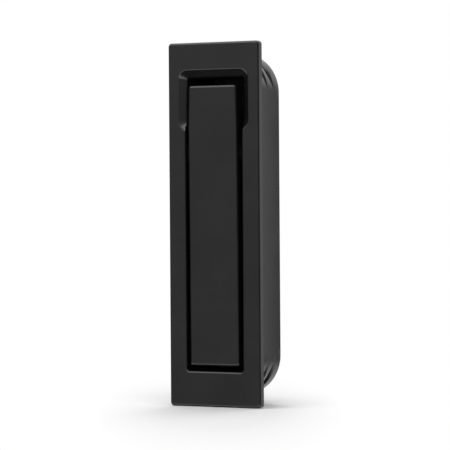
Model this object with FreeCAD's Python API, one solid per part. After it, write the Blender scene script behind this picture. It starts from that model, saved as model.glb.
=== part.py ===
import FreeCAD, Part
import math
import os

# Push-in edge pull for a pocket door, with a see-saw lever that swings out when its top end is pressed.
# Millimetres and degrees. X is across, +Y goes into the door and Z is up.
# The origin is the centre of the face plate's back, the plane that meets the door's edge.

Vector = FreeCAD.Vector
ACROSS = Vector(1, 0, 0)
INWARD = Vector(0, 1, 0)
STEP_ANGLE = 45
TOLERANCE = 1e-6

# Face plate
plate_width = 28.0
plate_height = 100.0
plate_thickness = 2.2
plate_corner_radius = 1.0
plate_edge_fillet = 0.6

# Housing behind the plate, with full-round ends
housing_width = 22.2
plate_end_overhang = 2.9
housing_depth = 16.3
housing_root_chamfer = 0.8
housing_back_fillet = 0.6
back_wall = 1.5

# Push-in barbs on the round ends, which fade out at the flat sides
barb_count = 4
barb_pitch = 3.5
barb_back_land = 3.65
barb_depth = 0.65

# Front opening: a slot round the lever, with a bevelled relief round the lever's top end
slot_width = 17.4
slot_end_margin = 9.8
slot_corner_radius = 0.8
relief_bevel = 2.15
relief_depth = 1.65
relief_height = 15.0
relief_top_margin = 7.5
relief_inner_radius = 0.5
mouth_fillet = 0.6

# Lever
lever_side_gap = 1.15
lever_bottom_gap = 1.5
lever_top_gap = 4.3
lever_top_taper = 0.28
lever_taper_length = 11.0
lever_corner_radius = 0.8
lever_edge_fillet = 0.65
lever_proud = 0.6
lever_rest_tilt = 0.5
lower_arm_thickness = 5.0
finger_hollow_radius = 16.0
finger_hollow_depth = 1.5
finger_lip = 2.6

# Pivot, placed from the plate's top end with all that turns on it
pivot_drop = 30.0
pivot_depth = 4.0
pin_diameter = 2.5
pin_end_recess = 0.3
pin_end_chamfer = 0.25
bush_wall = 0.95
bush_flange_diameter = 7.0
boss_wall = 1.7
running_clearance = 0.05
flange_clearance = 0.15

# Return spring
wire_diameter = 0.8
coil_diameter = 5.2
coil_turns = 3
wire_flats = 8
coil_gap = 0.06
fixed_leg_angle = 50.0
moving_leg_length = 13.0
spring_clearance = 0.05
spring_side_room = 1.7
spring_back_room = 0.4

# Rubber bumpers
bumper_diameter = 6.0
bumper_seat_depth = 0.5
bumper_edge_chamfer = 0.4
rest_bumper_height = 1.5
rest_bumper_drop = 14.0
rest_boss_wall = 1.2
rest_clearance = 0.1
stop_bumper_height = 2.0
stop_bumper_rise = 15.5

# Places worked out from the sizes above
plate_front = -plate_thickness
housing_height = plate_height - 2 * plate_end_overhang
end_radius = housing_width / 2
end_height = housing_height / 2 - end_radius
cavity_back = housing_depth - back_wall
slot_half = slot_width / 2
slot_bottom = slot_end_margin - plate_height / 2
relief_top = plate_height / 2 - relief_top_margin
relief_bottom = relief_top - relief_height
slot_top = relief_top - relief_bevel
lever_half = slot_half - lever_side_gap
lever_bottom = slot_bottom + lever_bottom_gap
lever_top = relief_top - lever_top_gap
lever_front = plate_front - lever_proud
lower_arm_back = lever_front + lower_arm_thickness
pivot_height = plate_height / 2 - pivot_drop
pin_radius = pin_diameter / 2
bush_inner_radius = pin_radius + running_clearance
bush_outer_radius = bush_inner_radius + bush_wall
boss_radius = bush_outer_radius + boss_wall
wire_radius = wire_diameter / 2
coil_radius = coil_diameter / 2
coil_pitch = wire_diameter + coil_gap
upper_arm_back = pivot_depth - coil_radius - wire_radius - spring_clearance
pivot = Vector(0, pivot_depth, pivot_height)


def prism(outline, front, back):
    """Solid pushed along Y from a closed outline of (x, z) points."""
    points = [Vector(x, front, z) for x, z in outline]
    face = Part.Face(Part.makePolygon(points + points[:1]))
    return face.extrude(INWARD * (back - front))


def cylinder(radius, start, direction, length):
    return Part.makeCylinder(radius, length, start, direction)


def edges_where(shape, chosen):
    """Edges whose end points all pass a test."""
    return [edge for edge in shape.Edges if all(chosen(vertex.Point) for vertex in edge.Vertexes)]


def fillet_where(shape, radius, chosen):
    return shape.makeFillet(radius, edges_where(shape, chosen))


def chamfer_where(shape, size, chosen):
    return shape.makeChamfer(size, edges_where(shape, chosen))


def edge_span(edge):
    return edge.Vertexes[-1].Point - edge.Vertexes[0].Point


def fillet_along(shape, radius, direction, chosen):
    """Round the straight edges that run along a direction and pass a test."""
    edges = []
    for edge in shape.Edges:
        span = edge_span(edge)
        if span.Length > 0 and span.cross(direction).Length < TOLERANCE and chosen(edge.Vertexes[0].Point):
            edges.append(edge)
    return shape.makeFillet(radius, edges)


def on_plane(depth):
    return lambda point: abs(point.y - depth) < TOLERANCE


def box_outline(half_width, bottom, top):
    return [(-half_width, bottom), (half_width, bottom), (half_width, top), (-half_width, top)]


def face_plate():
    outline = box_outline(plate_width / 2, -plate_height / 2, plate_height / 2)
    plate = prism(outline, plate_front, 0)
    plate = fillet_along(plate, plate_corner_radius, INWARD, lambda point: True)
    return fillet_where(plate, plate_edge_fillet, on_plane(plate_front))


def arc_points(across, height, radius, start, end):
    """First, middle and last (x, z) point of an arc round a centre, between two angles."""
    angles = [math.radians(angle) for angle in (start, (start + end) / 2, end)]
    return [(across + radius * math.cos(angle), height + radius * math.sin(angle)) for angle in angles]


def rounded_wire(foot_half, foot, arcs, depth):
    """Closed wire at a depth: a flat foot, and straight lines that join its ends by way of the arcs."""
    start = Vector(foot_half, depth, foot)
    edges = []
    here = start
    for arc in arcs + [[(-foot_half, foot)]]:
        points = [Vector(x, depth, z) for x, z in arc]
        edges.append(Part.makeLine(here, points[0]))
        if len(points) > 1:
            edges.append(Part.Arc(*points).toShape())
        here = points[-1]
    return Part.Wire(edges + [Part.makeLine(here, start)])


def housing_half():
    """Upper half of the housing: its round end steps up at each barb and slopes down behind it."""
    end_arc = [arc_points(0, end_height, end_radius, 0, 180)]
    first_crest = housing_depth - barb_back_land - barb_pitch * (barb_count - 1)
    root = plate_front / 2
    half = Part.Face(rounded_wire(end_radius, 0, end_arc, root)).extrude(INWARD * (first_crest - root))
    for tooth in range(barb_count):
        crest = first_crest + tooth * barb_pitch
        length = barb_pitch
        if tooth == barb_count - 1:
            length = barb_back_land
        slope = Vector(0, length, -barb_depth * length / barb_pitch)
        half = half.fuse(Part.Face(rounded_wire(end_radius, 0, end_arc, crest)).extrude(slope))
    return half


def relief_wire(inset):
    """Outline of the bevelled relief, moved in from its mouth; its foot ends inside the slot."""
    half = slot_half + relief_bevel - inset
    corner_radius = relief_inner_radius + relief_bevel - inset
    corner_half = half - corner_radius
    top = relief_top - inset
    step_turn = math.tan(math.radians(STEP_ANGLE / 2))
    step_top = relief_bottom + inset * step_turn
    foot_half = slot_half - lever_side_gap / 2
    foot = step_top - (half - foot_half) * math.tan(math.radians(STEP_ANGLE))
    right_side = [
        arc_points(corner_half, step_top + corner_radius * step_turn, corner_radius, -STEP_ANGLE, 0),
        arc_points(corner_half, top - corner_radius, corner_radius, 0, 90),
    ]
    left_side = [[(-x, z) for x, z in reversed(arc)] for arc in reversed(right_side)]
    depth = plate_front + inset * relief_depth / relief_bevel
    return rounded_wire(foot_half, foot, right_side + left_side, depth)


def front_opening():
    """Space inside the casting: the slot, down to the back wall, and the bevelled relief at its top."""
    slot = prism(box_outline(slot_half, slot_bottom, slot_top), plate_front, cavity_back)
    slot = fillet_along(slot, slot_corner_radius, INWARD, lambda point: point.z < pivot_height)
    slot = fillet_along(slot, relief_inner_radius, INWARD, lambda point: point.z > pivot_height)
    relief = Part.makeLoft([relief_wire(0), relief_wire(relief_bevel)], True, True)
    return slot.fuse(relief).removeSplitter()


def rest_seat_depth():
    """Depth of the rest bumper's seat, so that its front stops short of the lever's tilted lower arm."""
    tilt = math.radians(lever_rest_tilt)
    lowest_contact = rest_bumper_drop + bumper_diameter / 2
    arm_offset = (lower_arm_back - pivot_depth) / math.cos(tilt) + lowest_contact * math.tan(tilt)
    return pivot_depth + arm_offset + rest_clearance + rest_bumper_height


def housing_rim(point):
    """Whether a point is on the line where the housing meets the plate's back."""
    inside_width = abs(point.x) < end_radius + TOLERANCE
    inside_height = abs(point.z) < housing_height / 2 + TOLERANCE
    return on_plane(0)(point) and inside_width and inside_height


def opening_mouth(point):
    """Whether a point is on the edge of the opening in the plate's front."""
    inside_width = abs(point.x) < slot_half + relief_bevel + TOLERANCE
    inside_height = slot_bottom - TOLERANCE < point.z < relief_top + TOLERANCE
    return on_plane(plate_front)(point) and inside_width and inside_height


def relief_edge(point):
    """Whether a point is on the edge where the relief's bevel meets the slot's walls."""
    inside_width = abs(point.x) < slot_half + TOLERANCE
    inside_height = relief_bottom - relief_bevel - TOLERANCE < point.z < slot_top + TOLERANCE
    return point.y < plate_front + relief_depth + TOLERANCE and inside_width and inside_height


def cast_body():
    upper = housing_half()
    lower = upper.mirror(Vector(0, 0, 0), Vector(0, 0, 1))
    body = face_plate().fuse([upper, lower]).removeSplitter()
    body = fillet_where(body, housing_back_fillet, on_plane(housing_depth))
    body = chamfer_where(body, housing_root_chamfer, housing_rim)
    body = body.cut(front_opening())
    opening_edges = edges_where(body, opening_mouth) + edges_where(body, relief_edge)
    body = body.makeFillet(mouth_fillet, opening_edges)
    boss_front = rest_seat_depth() - bumper_seat_depth
    boss_place = Vector(0, boss_front, pivot_height - rest_bumper_drop)
    boss_length = cavity_back + back_wall / 2 - boss_front
    body = body.fuse(cylinder(bumper_diameter / 2 + rest_boss_wall, boss_place, INWARD, boss_length))
    stop_place = Vector(0, cavity_back, pivot_height + stop_bumper_rise)
    holes = [cylinder(pin_radius, pivot - ACROSS * end_radius, ACROSS, housing_width)]
    for place in (boss_place, stop_place):
        holes.append(cylinder(bumper_diameter / 2, place, INWARD, bumper_seat_depth))
    return body.removeSplitter().cut(holes)


def bumper(seat, height):
    """Rubber button: its back sits in a shallow socket, its bevelled front faces the lever."""
    button = cylinder(bumper_diameter / 2, seat, -INWARD, height)
    return chamfer_where(button, bumper_edge_chamfer, on_plane(seat.y - height))


def rest_bumper():
    return bumper(Vector(0, rest_seat_depth(), pivot_height - rest_bumper_drop), rest_bumper_height)


def stop_bumper():
    seat = Vector(0, cavity_back + bumper_seat_depth, pivot_height + stop_bumper_rise)
    return bumper(seat, stop_bumper_height + bumper_seat_depth)


def lever_plan():
    """Block with the lever's front outline, drawn in a little towards its top end."""
    top_half = lever_half - lever_top_taper
    taper_start = lever_top - lever_taper_length
    right_side = [(lever_half, lever_bottom), (lever_half, taper_start), (top_half, lever_top)]
    left_side = [(-x, z) for x, z in reversed(right_side)]
    plan = prism(right_side + left_side, lever_front, pivot_depth + boss_radius)

    def at_an_end(point):
        return abs(point.z - taper_start) > TOLERANCE

    return fillet_along(plan, lever_corner_radius, INWARD, at_an_end)


def lever_bar():
    """Lever in side view: a thick lower arm, a thinner upper arm and a round boss at the pivot."""
    side_view = [
        (lever_front, lever_bottom),
        (lower_arm_back, lever_bottom),
        (lower_arm_back, pivot_height),
        (upper_arm_back, pivot_height),
        (upper_arm_back, lever_top),
        (lever_front, lever_top),
    ]
    points = [Vector(-lever_half, y, z) for y, z in side_view]
    arms = Part.Face(Part.makePolygon(points + points[:1])).extrude(ACROSS * (2 * lever_half))
    return arms.fuse(lever_bore(boss_radius))


def lever_bore(radius):
    """Cylinder on the pivot axis, as long as the lever is wide."""
    return cylinder(radius, pivot - ACROSS * lever_half, ACROSS, 2 * lever_half)


def finger_hollow():
    """Cutter for the hollow behind the lower end, with a lip left for the fingertips."""
    axis_depth = lower_arm_back + finger_hollow_radius - finger_hollow_depth
    half_length = math.sqrt(finger_hollow_radius**2 - (finger_hollow_radius - finger_hollow_depth) ** 2)
    axis_start = Vector(-lever_half, axis_depth, lever_bottom + finger_lip + half_length)
    return cylinder(finger_hollow_radius, axis_start, ACROSS, 2 * lever_half)


def spring_window():
    """Cutter for the coil's window, which leaves an ear of the boss on each side."""
    room = coil_radius + wire_radius + spring_back_room
    half = spring_half_room()
    return Part.makeBox(2 * half, room + boss_radius, 2 * room, pivot - Vector(half, room, room))


def pull_lever():
    lever = lever_bar().common(lever_plan()).removeSplitter()
    lever = fillet_where(lever, lever_edge_fillet, on_plane(lever_front))
    lever = lever.cut([finger_hollow(), spring_window(), lever_bore(bush_outer_radius)])
    lever.rotate(pivot, ACROSS, lever_rest_tilt)
    return lever


def spring_half_room():
    """Half the width of the lever's window for the coil."""
    return coil_length() / 2 + spring_side_room


def coil_sweep_angle():
    """Angle that the wire turns through from the moving leg to the fixed leg."""
    return 360 * coil_turns + 180 - fixed_leg_angle - lever_rest_tilt


def coil_length():
    return coil_pitch * coil_sweep_angle() / 360


def flanged_bush(side):
    """Bush in one ear of the lever, side -1 or 1, with its flange in the gap beside the lever."""
    outward = ACROSS * side
    inner_end = pivot + outward * spring_half_room()
    shoulder = pivot + outward * lever_half
    barrel = cylinder(bush_outer_radius, inner_end, outward, lever_half - spring_half_room())
    flange = cylinder(bush_flange_diameter / 2, shoulder, outward, lever_side_gap - flange_clearance)
    bore = cylinder(bush_inner_radius, pivot, outward, slot_half)
    return barrel.fuse(flange).removeSplitter().cut(bore)


def pivot_pin():
    length = housing_width - 2 * pin_end_recess
    pin = cylinder(pin_radius, pivot - ACROSS * (length / 2), ACROSS, length)
    return chamfer_where(pin, pin_end_chamfer, lambda point: True)


def wire_section(middle, direction):
    """Round wire drawn with a few flats, in the plane across a direction."""
    side = direction.cross(ACROSS).normalize()
    other = direction.cross(side)
    corners = []
    for flat in range(wire_flats + 1):
        angle = 2 * math.pi * flat / wire_flats
        outward = side * math.cos(angle) + other * math.sin(angle)
        corners.append(middle + outward * wire_radius)
    return Part.makePolygon(corners)


def return_spring():
    """One wire: moving leg down the upper arm's back, coil round the pin, fixed leg to the back wall."""
    start_angle = math.radians(180 + lever_rest_tilt)
    end_angle = start_angle + math.radians(coil_sweep_angle())
    rise = coil_pitch / (2 * math.pi * coil_radius)
    half = coil_length() / 2

    def coil_point(angle, along):
        return pivot + Vector(along, coil_radius * math.cos(angle), coil_radius * math.sin(angle))

    def coil_direction(angle):
        return Vector(rise, -math.sin(angle), math.cos(angle)).normalize()

    first = coil_point(start_angle, -half)
    last = coil_point(end_angle, half)
    end_reach = coil_direction(end_angle)
    tip_allowance = wire_radius * math.sqrt(1 - end_reach.y**2)
    fixed_length = (cavity_back - spring_clearance - tip_allowance - last.y) / end_reach.y
    moving_tip = first - coil_direction(start_angle) * moving_leg_length
    helix = Part.makeHelix(coil_pitch, coil_length(), coil_radius)
    turn = FreeCAD.Rotation(INWARD, Vector(0, 0, 1), ACROSS, "ZXY")
    place = FreeCAD.Placement(pivot - ACROSS * half, turn)
    helix.rotate(Vector(0, 0, 0), Vector(0, 0, 1), math.degrees(start_angle))
    helix.Placement = place.multiply(helix.Placement)
    legs_and_coil = [Part.makeLine(moving_tip, first)] + helix.Edges
    legs_and_coil.append(Part.makeLine(last, last + end_reach * fixed_length))
    path = Part.Wire(legs_and_coil)
    section = wire_section(moving_tip, coil_direction(start_angle))
    pipe = Part.BRepOffsetAPI.MakePipeShell(path)
    pipe.setBiNormalMode(ACROSS)
    pipe.add(section)
    pipe.build()
    pipe.makeSolid()
    return pipe.shape()


parts = {
    "cast_body": cast_body(),
    "pull_lever": pull_lever(),
    "pivot_pin": pivot_pin(),
    "bush_left": flanged_bush(-1),
    "bush_right": flanged_bush(1),
    "return_spring": return_spring(),
    "rest_bumper": rest_bumper(),
    "stop_bumper": stop_bumper(),
}

os.makedirs("parts", exist_ok=True)
for name, shape in parts.items():
    shape.exportStep(os.path.join("parts", name + ".step"))
    print(name, "valid", shape.isValid(), "solids", len(shape.Solids), "volume", round(shape.Volume, 1))
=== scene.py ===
import math

import bmesh
import bpy
from mathutils import Matrix, Vector


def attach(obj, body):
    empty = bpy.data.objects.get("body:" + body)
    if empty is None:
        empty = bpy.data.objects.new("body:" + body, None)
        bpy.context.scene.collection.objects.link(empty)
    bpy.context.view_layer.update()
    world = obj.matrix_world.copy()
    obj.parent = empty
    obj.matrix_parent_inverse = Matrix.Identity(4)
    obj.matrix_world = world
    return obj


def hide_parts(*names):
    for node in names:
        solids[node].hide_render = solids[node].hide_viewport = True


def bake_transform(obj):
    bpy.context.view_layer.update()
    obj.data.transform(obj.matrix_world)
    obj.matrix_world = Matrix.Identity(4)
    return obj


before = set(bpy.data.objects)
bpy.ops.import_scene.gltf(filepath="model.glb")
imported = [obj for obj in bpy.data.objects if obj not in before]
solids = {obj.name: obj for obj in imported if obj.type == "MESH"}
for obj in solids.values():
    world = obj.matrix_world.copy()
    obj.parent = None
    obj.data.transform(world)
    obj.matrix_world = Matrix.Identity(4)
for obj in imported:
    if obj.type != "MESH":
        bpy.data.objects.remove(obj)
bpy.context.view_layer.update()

# Looks of a black push-in pocket door pull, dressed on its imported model.
# Metres. X is across the plate, +Y goes into the door and Z is up.

scene = bpy.context.scene
scene.view_settings.view_transform = "Standard"

# Sizes repeated from the part's source
plate_front = Vector((0, -0.0022, 0))
plate_half_height = 0.050
cavity_back = 0.0148
slot_half = 0.0087
slot_reach = 0.0407
housing_half_width = 0.0111
housing_depth = 0.0163
housing_back_fillet = 0.0006
end_height = 0.036
barb_count = 4
barb_pitch = 0.0035
barb_back_land = 0.00365
pivot = Vector((0, 0.004, 0.020))
wire_radius = 0.0004
coil_radius = 0.0026
coil_pitch = 0.00086
coil_turns = 3
fixed_leg_angle = math.radians(50)
moving_leg_length = 0.013
rest_tilt = math.radians(0.5)
spring_clearance = 0.00005

# Barbs as the photo shows them, further out than the solid's and softer at their steps
barb_reach = 0.00045
barb_depth = 0.00045
barb_back_drop = 0.00005
barb_step_half = 0.0002
barb_step_lead = 0.00015
step_shares = (-1.4, -1, -0.6, -0.2, 0.2, 0.6, 1, 1.4)
barb_fade = 2.2
end_segments = 72
back_edge_rings = 5

# How those barbs lie on the solid: sides just proud of it, feet and inner wall sunk in it
skin_gap = 0.000002
barb_root = -0.001
barb_overlap = 0.0007
barb_flank = 0.001
barb_foot = 0.004
barb_foot_sink = 0.000006

# Spring mesh, with cut ends rounded off over a share of the wire's radius
points_per_turn = 72
wire_sides = 20
tip_rings = 4
tip_length_share = 0.35
tip_flat_share = 0.6

# Noise: levels of detail, and the part of its range that is used, for one noise and for a sum of two
plain_detail = 2
mixed_detail = 3
rich_detail = 4
noise_span = (0.3, 0.7)
sum_span = (0.7, 1.3)

# Powder coat
body_seed = 1
lever_seed = 11
cloud_size = 0.012
peel_size = 0.0009
peel_depth = 0.00004
peel_strength = 0.12
grain_size = 0.00018
grain_depth = 0.00001
grain_strength = 0.25
coat_dark = 0.006
coat_pale = 0.0078
coat_roughness = (0.16, 0.24)
rub_size = 0.0016
rub_span = (0.42, 0.68)
rub_radius = 0.0004
rub_samples = 6
rub_flat_match = 0.995
rub_edge_match = 0.93
rub_tone = 0.014
rub_warmth = 0.02
rub_polish = 0.08
cavity_roughening = 0.4
cavity_margin = 0.0001

# Ground steel of the pin
mark_scales = (9000, 350, 350)
mark_depth = 0.000004
mark_strength = 0.3
pin_dark = 0.38
pin_pale = 0.48
pin_warmth = 0.01
pin_roughness = (0.30, 0.44)

# Spring wire
oil_seed = 21
oil_size = 0.0022
drawing_seed = 22
drawing_size = 0.00012
drawing_depth = 0.000005
drawing_strength = 0.3
wire_dark = 0.22
wire_dark_warmth = 0.02
wire_pale = 0.36
wire_pale_warmth = 0.03
wire_roughness = (0.24, 0.42)

# Moulded nylon and rubber
bloom_size = 0.0018
bloom_dark_share = 0.85
bloom_pale_share = 1.2
mould_grain_size = 0.00014
mould_grain_depth = 0.00001
mould_grain_strength = 0.35
nylon_seed = 51
nylon_tone = 0.05
nylon_roughness = (0.45, 0.6)
rubber_seed = 61
rubber_tone = 0.014
rubber_roughness = (0.7, 0.85)

# Camera, fitted to the photo's edges
camera_yaw = math.radians(28.4)
camera_distance = 0.716
camera_rise = 0.0075
aim_right = 0.0031
aim_rise = -0.0001
camera_roll = math.radians(-0.38)
lens_mm = 209.4
sensor_mm = 36.0
camera_clip_start = 0.01

# Floor, which the camera sees fade to white over this span of distance from the object
floor_radius = 1.5
floor_segments = 96
floor_white = 0.82
floor_roughness = 0.9
floor_specular = 0.1
fibre_seed = 41
fibre_size = 0.004
fibre_dark_share = 0.99
fibre_pale_share = 1.01
fade_span = (0.015, 0.034)
fade_depth_share = 0.22

# Light of the world as reflections see it, and the share of it that lights matt surfaces
backdrop_light = 0.52
front_light = 0.488
dark_sides = 0.1
high_backdrop_share = 0.4
right_backdrop_share = 0.42
downward_share = 0.75
upward_lift = 2.5
table_light = 2.7
steep_table_share = 0.02
back_table_share = 0.3
diffuse_share = 0.4

# Spans of the world's direction, along one axis, over which that light changes
backdrop_span_y = (0.1, 0.8)
high_span_z = (0.3, 0.46)
right_span_x = (0.28, 0.44)
front_span_y = (-0.45, -0.85)
lift_span_z = (-0.1, 0.5)
table_span_z = (-0.12, -0.3)
steep_span_z = (-0.42, -0.66)
back_table_span_y = (0.3, -0.2)

# Lamps
overhead_place = (-0.1, 0.36, 0.66)
overhead_size = 0.8
overhead_power = 4.6
top_place = (0.3, -0.26, 0.7)
top_size = 0.4
top_power = 2.0
key_place = (-0.36, -0.42, 0.55)
key_size = 0.7
key_power = 3.4
card_distance = 0.080
card_edge = 0.004
card_width = 0.040
card_height = 0.16
card_rise = 0.02
card_power = 0.0112

# Places of the colour sockets on a mix node
mix_colour_inputs = (6, 7)
mix_colour_output = 2


def place_camera():
    """Camera at the photo's angle, with a long lens and a slight roll."""
    towards_camera = Vector((math.sin(camera_yaw), -math.cos(camera_yaw), 0))
    to_the_right = Vector((math.cos(camera_yaw), math.sin(camera_yaw), 0))
    place = plate_front + towards_camera * camera_distance + Vector((0, 0, camera_rise))
    aim = plate_front + to_the_right * aim_right + Vector((0, 0, aim_rise))
    turn = (aim - place).to_track_quat("-Z", "Y").to_matrix().to_4x4()
    camera = bpy.data.objects.new("camera", bpy.data.cameras.new("camera"))
    scene.collection.objects.link(camera)
    camera.data.lens = lens_mm
    camera.data.sensor_width = sensor_mm
    camera.data.clip_start = camera_clip_start
    camera.matrix_world = Matrix.Translation(place) @ turn @ Matrix.Rotation(camera_roll, 4, "Z")
    scene.camera = camera


class Nodes:
    """Short hand for the node trees below."""

    def __init__(self, tree):
        self.tree = tree

    def link(self, source, target):
        self.tree.links.new(source, target)

    def feed(self, socket, value):
        """Input linked to another node's output, or set to a plain value."""
        if isinstance(value, bpy.types.NodeSocket):
            self.link(value, socket)
        else:
            socket.default_value = value

    def add(self, kind, inputs=None, **settings):
        """New node, with its settings and its inputs."""
        node = self.tree.nodes.new(kind)
        for name, value in settings.items():
            setattr(node, name, value)
        for name, value in (inputs or {}).items():
            self.feed(node.inputs[name], value)
        return node

    def place(self):
        """Place in the piece's own space."""
        return self.add("ShaderNodeTexCoord").outputs["Object"]

    def noise(self, feature_size, detail, seed):
        """Noise in the piece's own space, with features of about that size."""
        inputs = {"Vector": self.place(), "W": seed, "Scale": 1 / feature_size, "Detail": detail}
        return self.add("ShaderNodeTexNoise", inputs, noise_dimensions="4D").outputs["Fac"]

    def spread(self, value, span, target=(0, 1)):
        """Value carried from one span to another, and held at its ends."""
        low, high = span
        to_low, to_high = target
        inputs = {"Value": value, "From Min": low, "From Max": high, "To Min": to_low, "To Max": to_high}
        return self.add("ShaderNodeMapRange", inputs).outputs["Result"]

    def blend(self, share, first, second):
        """Colour between two colours."""
        node = self.add("ShaderNodeMix", {"Factor": share}, data_type="RGBA")
        for slot, colour in zip(mix_colour_inputs, (first, second)):
            self.feed(node.inputs[slot], colour)
        return node.outputs[mix_colour_output]

    def maths(self, operation, first, second):
        return self.add("ShaderNodeMath", {0: first, 1: second}, operation=operation).outputs["Value"]

    def bump(self, height, depth, strength, before=None):
        """Normal bent by a height, on top of an earlier bump if there is one."""
        inputs = {"Height": height, "Distance": depth, "Strength": strength}
        if before is not None:
            inputs["Normal"] = before
        return self.add("ShaderNodeBump", inputs).outputs["Normal"]

    def edges(self, radius, flat_match, edge_match):
        """Share of 1 near edges that turn within the radius, 0 on flat faces."""
        rounded = self.add("ShaderNodeBevel", {"Radius": radius}, samples=rub_samples).outputs["Normal"]
        own = self.add("ShaderNodeNewGeometry").outputs["Normal"]
        both = {0: rounded, 1: own}
        match = self.add("ShaderNodeVectorMath", both, operation="DOT_PRODUCT").outputs["Value"]
        return self.spread(match, (edge_match, flat_match), (1, 0))


def new_material(name):
    material = bpy.data.materials.new(name)
    material.use_nodes = True
    return material, Nodes(material.node_tree), material.node_tree.nodes["Principled BSDF"].inputs


def grey(value, warmth=0.0):
    return (value * (1 + warmth), value, value * (1 - warmth), 1)


def inside_cavity(nodes):
    """Share of 1 on the walls of the cavity behind the plate, 0 on the outside."""
    parts = nodes.add("ShaderNodeSeparateXYZ", {"Vector": nodes.place()}).outputs
    half_depth = cavity_back / 2
    limits = {"X": (0, slot_half), "Y": (half_depth, half_depth), "Z": (0, slot_reach)}
    inside = 1
    for axis, (centre, reach) in limits.items():
        inputs = {0: parts[axis], 1: centre, 2: reach + cavity_margin}
        within = nodes.add("ShaderNodeMath", inputs, operation="COMPARE").outputs["Value"]
        inside = nodes.maths("MULTIPLY", within, inside)
    return inside


def powder_coat(name, seed, hollow):
    """Satin black powder coat: fine grain, soft orange peel, uneven gloss and rubbed edges.

    In a hollow body the coat is rougher on the walls of the cavity.
    """
    material, nodes, shader = new_material(name)
    cloud = nodes.noise(cloud_size, mixed_detail, seed)
    grain = nodes.noise(grain_size, plain_detail, seed + 1)
    peel = nodes.noise(peel_size, plain_detail, seed + 2)
    rub_spots = nodes.spread(nodes.noise(rub_size, rich_detail, seed + 3), rub_span)
    rub = nodes.maths("MULTIPLY", nodes.edges(rub_radius, rub_flat_match, rub_edge_match), rub_spots)
    coat = nodes.blend(nodes.spread(cloud, noise_span), grey(coat_dark), grey(coat_pale))
    nodes.link(nodes.blend(rub, coat, grey(rub_tone, rub_warmth)), shader["Base Color"])
    roughness = nodes.spread(nodes.maths("ADD", cloud, grain), sum_span, coat_roughness)
    roughness = nodes.maths("SUBTRACT", roughness, nodes.maths("MULTIPLY", rub, rub_polish))
    if hollow:
        roughening = nodes.maths("MULTIPLY", inside_cavity(nodes), cavity_roughening)
        roughness = nodes.maths("ADD", roughness, roughening)
    nodes.link(roughness, shader["Roughness"])
    skin = nodes.bump(peel, peel_depth, peel_strength)
    nodes.link(nodes.bump(grain, grain_depth, grain_strength, skin), shader["Normal"])
    return material


def ground_steel():
    """Pin: bright steel with fine marks round it from grinding."""
    material, nodes, shader = new_material("ground_steel")
    shader["Metallic"].default_value = 1
    scaled = {"Vector": nodes.place(), "Scale": mark_scales}
    stretched = nodes.add("ShaderNodeMapping", scaled).outputs["Vector"]
    pattern = {"Vector": stretched, "Scale": 1, "Detail": mixed_detail}
    marks = nodes.add("ShaderNodeTexNoise", pattern).outputs["Fac"]
    dark = grey(pin_dark, pin_warmth)
    pale = grey(pin_pale, pin_warmth)
    nodes.link(nodes.blend(marks, dark, pale), shader["Base Color"])
    nodes.link(nodes.spread(marks, noise_span, pin_roughness), shader["Roughness"])
    nodes.link(nodes.bump(marks, mark_depth, mark_strength), shader["Normal"])
    return material


def spring_wire():
    """Oiled spring steel: dark, with faint drawing marks and patches of oil."""
    material, nodes, shader = new_material("spring_wire")
    shader["Metallic"].default_value = 1
    oil = nodes.noise(oil_size, mixed_detail, oil_seed)
    drawing = nodes.noise(drawing_size, plain_detail, drawing_seed)
    dark = grey(wire_dark, wire_dark_warmth)
    pale = grey(wire_pale, wire_pale_warmth)
    nodes.link(nodes.blend(oil, dark, pale), shader["Base Color"])
    nodes.link(nodes.spread(oil, noise_span, wire_roughness), shader["Roughness"])
    nodes.link(nodes.bump(drawing, drawing_depth, drawing_strength), shader["Normal"])
    return material


def moulded(name, tone, roughness, seed):
    """Matt moulded plastic or rubber: fine spark-eroded grain and slight bloom."""
    material, nodes, shader = new_material(name)
    bloom = nodes.noise(bloom_size, mixed_detail, seed)
    grain = nodes.noise(mould_grain_size, plain_detail, seed + 1)
    dark = grey(tone * bloom_dark_share)
    pale = grey(tone * bloom_pale_share)
    nodes.link(nodes.blend(bloom, dark, pale), shader["Base Color"])
    nodes.link(nodes.spread(bloom, noise_span, roughness), shader["Roughness"])
    nodes.link(nodes.bump(grain, mould_grain_depth, mould_grain_strength), shader["Normal"])
    return material


def dress(piece, material):
    piece.data.materials.clear()
    piece.data.materials.append(material)


def new_piece(name, shape, material):
    """Object made of a finished shape, in its material."""
    mesh = bpy.data.meshes.new(name)
    shape.to_mesh(mesh)
    shape.free()
    piece = bpy.data.objects.new(name, mesh)
    scene.collection.objects.link(piece)
    dress(piece, material)
    return piece


def join_rings(shape, rings, smooth_corners):
    """Walls between rings of points, smooth at the corners in the given range."""
    count = len(rings[0])
    for near, far in zip(rings, rings[1:]):
        for corner in range(count):
            following = (corner + 1) % count
            face = shape.faces.new((near[corner], near[following], far[following], far[corner]))
            face.smooth = corner in smooth_corners


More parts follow.
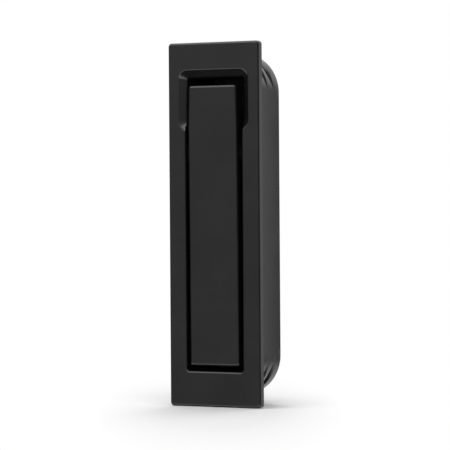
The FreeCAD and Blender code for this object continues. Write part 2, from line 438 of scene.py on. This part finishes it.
def spring_route():
    """Points along the wire's middle: moving leg, coil round the pin, fixed leg to the back wall."""
    start_angle = math.pi + rest_tilt
    sweep = 2 * math.pi * coil_turns + math.pi - fixed_leg_angle - rest_tilt
    rise = coil_pitch / (2 * math.pi * coil_radius)
    half = coil_pitch * sweep / (4 * math.pi)

    def coil_point(angle):
        along = coil_pitch * (angle - start_angle) / (2 * math.pi) - half
        return pivot + Vector((along, coil_radius * math.cos(angle), coil_radius * math.sin(angle)))

    def coil_direction(angle):
        return Vector((rise, -math.sin(angle), math.cos(angle))).normalized()

    steps = math.ceil(points_per_turn * sweep / (2 * math.pi))
    coil = [coil_point(start_angle + sweep * step / steps) for step in range(steps + 1)]
    leg_end = coil_direction(start_angle + sweep)
    tip_allowance = wire_radius * math.sqrt(1 - leg_end.y**2)
    fixed_length = (cavity_back - spring_clearance - tip_allowance - coil[-1].y) / leg_end.y
    moving_tip = coil[0] - coil_direction(start_angle) * moving_leg_length
    return [moving_tip] + coil + [coil[-1] + leg_end * fixed_length], half


def tip_profile():
    """Steps inward along the wire and shares of its radius that round off a cut end."""
    shape = []
    for ring in range(tip_rings):
        bulge = math.sin(math.pi / 2 * (ring + 1) / (tip_rings + 1))
        step = wire_radius * tip_length_share * (1 - bulge)
        shape.append((step, tip_flat_share + (1 - tip_flat_share) * bulge))
    return shape


def spring_stations(route):
    """Middle, heading and share of the wire's radius at each ring along the route."""
    stations = []
    heading = (route[1] - route[0]).normalized()
    for step, share in tip_profile():
        stations.append((route[0] + heading * step, heading, share))
    for before, here, after in zip(route, route[1:], route[2:]):
        stations.append((here, (after - before).normalized(), 1))
    heading = (route[-1] - route[-2]).normalized()
    for step, share in reversed(tip_profile()):
        stations.append((route[-1] - heading * step, heading, share))
    return stations


def return_spring():
    """Round wire swept along the spring's route, in place of the solid's wire with flats."""
    route, half = spring_route()
    shape = bmesh.new()
    rings = []
    for middle, heading, share in spring_stations(route):
        side = heading.cross(Vector((1, 0, 0))).normalized()
        other = heading.cross(side)
        ring = []
        for corner in range(wire_sides):
            angle = 2 * math.pi * corner / wire_sides
            outward = side * math.cos(angle) + other * math.sin(angle)
            ring.append(shape.verts.new(middle + outward * wire_radius * share))
        rings.append(ring)
    join_rings(shape, rings, range(wire_sides))
    shape.faces.new(reversed(rings[0]))
    shape.faces.new(rings[-1])
    bmesh.ops.recalc_face_normals(shape, faces=shape.faces)
    piece = new_piece("spring_coil", shape, spring_wire())
    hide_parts("return_spring")
    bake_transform(piece)


def eased(share):
    """Soft step from 0 to 1, held at its ends."""
    share = min(max(share, 0), 1)
    return share * share * (3 - 2 * share)


def barb_stations():
    """Depth, drop and inset along a round end: barbs with soft steps, then the rounded back edge."""
    slope = barb_depth / barb_pitch
    back_slope = barb_back_drop / barb_back_land
    last_crest = housing_depth - barb_back_land
    first_crest = last_crest - barb_pitch * (barb_count - 1)
    stations = [(barb_root, 0, 0), (first_crest, 0, 0)]
    for tooth in range(1, barb_count):
        crest = first_crest + tooth * barb_pitch - barb_step_lead
        slope_behind = back_slope if tooth == barb_count - 1 else slope
        for share in step_shares:
            along = share * barb_step_half
            rise = eased((share + 1) / 2)
            drop = (barb_depth + slope * along) * (1 - rise) + slope_behind * along * rise
            stations.append((crest + along, drop, 0))
    for ring in range(back_edge_rings + 1):
        angle = math.pi / 2 * ring / back_edge_rings
        depth = housing_depth - skin_gap - housing_back_fillet * (1 - math.sin(angle))
        inset = housing_back_fillet * (1 - math.cos(angle))
        stations.append((depth, back_slope * (depth - last_crest), inset))
    return stations


def end_contour(radius, centre, drop, foot_half):
    """Points (x, z) over a round end from foot to foot, with a drop that fades at the flanks."""
    foot = end_height - barb_foot
    flank = end_height - barb_flank
    points = [(foot_half, foot), (radius, flank)]
    for segment in range(end_segments + 1):
        angle = math.pi * segment / end_segments
        reach = radius - drop * min(1, barb_fade * math.sin(angle))
        points.append((reach * math.cos(angle), centre + reach * math.sin(angle)))
    return points + [(-radius, flank), (-foot_half, foot)]


def barbed_end(name, upward, material):
    """Barbs of one round end, laid over the solid's own. Their feet stay flat, so that no seam shows."""
    inner_radius = housing_half_width - barb_overlap
    inner = end_contour(inner_radius, end_height - barb_overlap, 0, inner_radius)
    shape = bmesh.new()
    rings = []
    for depth, drop, inset in barb_stations():
        radius = housing_half_width + skin_gap - inset
        outer = end_contour(radius, end_height + barb_reach, drop, radius - barb_foot_sink)
        contour = outer + inner[::-1]
        rings.append([shape.verts.new((x, depth, z * upward)) for x, z in contour])
    count = len(inner)
    join_rings(shape, rings, range(1, count - 2))
    for ring in (rings[0], rings[-1]):
        for corner in range(count - 1):
            across = 2 * count - 1 - corner
            shape.faces.new((ring[corner], ring[corner + 1], ring[across - 1], ring[across]))
    bmesh.ops.recalc_face_normals(shape, faces=shape.faces)
    piece = new_piece(name, shape, material)
    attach(piece, "housing")


def floor_paper():
    """Pale paper that the camera sees fade into the white background, and that is clear from below."""
    material, nodes, shader = new_material("floor_paper")
    shader["Roughness"].default_value = floor_roughness
    shader["Specular IOR Level"].default_value = floor_specular
    fibre = nodes.noise(fibre_size, rich_detail, fibre_seed)
    dark = grey(floor_white * fibre_dark_share)
    pale = grey(floor_white * fibre_pale_share)
    nodes.link(nodes.blend(fibre, dark, pale), shader["Base Color"])
    shares = {0: nodes.place(), 1: (1, fade_depth_share, 0)}
    squeezed = nodes.add("ShaderNodeVectorMath", shares, operation="MULTIPLY").outputs["Vector"]
    reach = nodes.add("ShaderNodeVectorMath", {0: squeezed}, operation="LENGTH").outputs["Value"]
    far = nodes.spread(reach, fade_span)
    camera_ray = nodes.add("ShaderNodeLightPath").outputs["Is Camera Ray"]
    white = nodes.add("ShaderNodeEmission").outputs["Emission"]
    paper = material.node_tree.nodes["Principled BSDF"].outputs["BSDF"]
    whitened = {0: nodes.maths("MULTIPLY", far, camera_ray), 1: paper, 2: white}
    above = nodes.add("ShaderNodeMixShader", whitened).outputs["Shader"]
    underside = nodes.add("ShaderNodeNewGeometry").outputs["Backfacing"]
    clear = nodes.add("ShaderNodeBsdfTransparent").outputs["BSDF"]
    both = nodes.add("ShaderNodeMixShader", {0: underside, 1: above, 2: clear}).outputs["Shader"]
    nodes.link(both, material.node_tree.nodes["Material Output"].inputs["Surface"])
    return material


def studio_floor():
    """Floor with the object's shadow, turned so that its fade lies across the photo's view."""
    shape = bmesh.new()
    bmesh.ops.create_circle(shape, cap_ends=True, segments=floor_segments, radius=floor_radius)
    floor = new_piece("floor", shape, floor_paper())
    floor.location.z = -plate_half_height
    floor.rotation_euler.z = camera_yaw
    floor.visible_glossy = False


def studio_world():
    """White background for the camera, and the studio that reflections see.

    Its backdrop is dimmed high up and to the right, its sides are dark, its front is dim,
    and a lit table stands in for the floor.
    """
    world = bpy.data.worlds.new("studio")
    world.use_nodes = True
    scene.world = world
    nodes = Nodes(world.node_tree)
    background = world.node_tree.nodes["Background"].inputs
    path = nodes.add("ShaderNodeLightPath").outputs
    direction = nodes.add("ShaderNodeTexCoord").outputs["Generated"]
    parts = nodes.add("ShaderNodeSeparateXYZ", {"Vector": direction}).outputs
    dimmed_high = nodes.spread(parts["Z"], high_span_z, (1, high_backdrop_share))
    dimmed_right = nodes.spread(parts["X"], right_span_x, (1, right_backdrop_share))
    behind = nodes.spread(parts["Y"], backdrop_span_y, (dark_sides, backdrop_light))
    behind = nodes.maths("MULTIPLY", behind, dimmed_high)
    behind = nodes.maths("MULTIPLY", behind, dimmed_right)
    before = nodes.spread(parts["Y"], front_span_y, (dark_sides, front_light))
    walls = nodes.maths("MAXIMUM", behind, before)
    lift = nodes.spread(parts["Z"], lift_span_z, (downward_share, upward_lift))
    raised = nodes.maths("MULTIPLY", walls, lift)
    dimmed_steep = nodes.spread(parts["Z"], steep_span_z, (1, steep_table_share))
    dimmed_back = nodes.spread(parts["Y"], back_table_span_y, (back_table_share, 1))
    table = nodes.spread(parts["Z"], table_span_z, (0, table_light))
    table = nodes.maths("MULTIPLY", table, dimmed_steep)
    table = nodes.maths("MULTIPLY", table, dimmed_back)
    room = nodes.maths("MAXIMUM", raised, table)
    reflected = nodes.maths("MAXIMUM", room, path["Is Camera Ray"])
    mirrored = nodes.maths("MAXIMUM", path["Is Glossy Ray"], path["Is Transmission Ray"])
    seen = nodes.maths("MAXIMUM", path["Is Camera Ray"], mirrored)
    fill = nodes.maths("MULTIPLY", room, diffuse_share)
    nodes.link(nodes.spread(seen, (0, 1), (fill, reflected)), background["Strength"])
    background["Color"].default_value = grey(1)


def area_lamp(name, place, facing, power):
    """Area light that the camera doesn't see."""
    light = bpy.data.lights.new(name, "AREA")
    light.energy = power
    lamp = bpy.data.objects.new(name, light)
    lamp.location = place
    lamp.rotation_euler = facing.to_track_quat("-Z", "Y").to_euler()
    lamp.visible_camera = False
    scene.collection.objects.link(lamp)
    return lamp


def softbox(name, place, size, power):
    """Square lamp that faces the object."""
    lamp = area_lamp(name, place, -Vector(place), power)
    lamp.data.size = size


def side_card():
    """Bright card close behind the right side, seen in reflections only, whose edge shades that side."""
    mirrored_view = Vector((math.sin(camera_yaw), math.cos(camera_yaw), 0))
    to_the_right = Vector((math.cos(camera_yaw), -math.sin(camera_yaw), 0))
    middle = mirrored_view * card_distance + to_the_right * (card_edge + card_width / 2)
    card = area_lamp("side_card", middle + Vector((0, 0, card_rise)), -mirrored_view, card_power)
    card.data.shape = "RECTANGLE"
    card.data.size = card_width
    card.data.size_y = card_height
    card.visible_diffuse = False


place_camera()
body_coat = powder_coat("coat_body", body_seed, hollow=True)
dress(solids["cast_body"], body_coat)
barbed_end("upper_barbs", 1, body_coat)
barbed_end("lower_barbs", -1, body_coat)
dress(solids["pull_lever"], powder_coat("coat_lever", lever_seed, hollow=False))
dress(solids["pivot_pin"], ground_steel())
nylon = moulded("nylon", nylon_tone, nylon_roughness, nylon_seed)
rubber = moulded("rubber", rubber_tone, rubber_roughness, rubber_seed)
for name in ("bush_left", "bush_right"):
    dress(solids[name], nylon)
for name in ("rest_bumper", "stop_bumper"):
    dress(solids[name], rubber)
return_spring()
studio_floor()
studio_world()
softbox("overhead_softbox", overhead_place, overhead_size, overhead_power)
softbox("top_softbox", top_place, top_size, top_power)
side_card()
softbox("key_softbox", key_place, key_size, key_power)
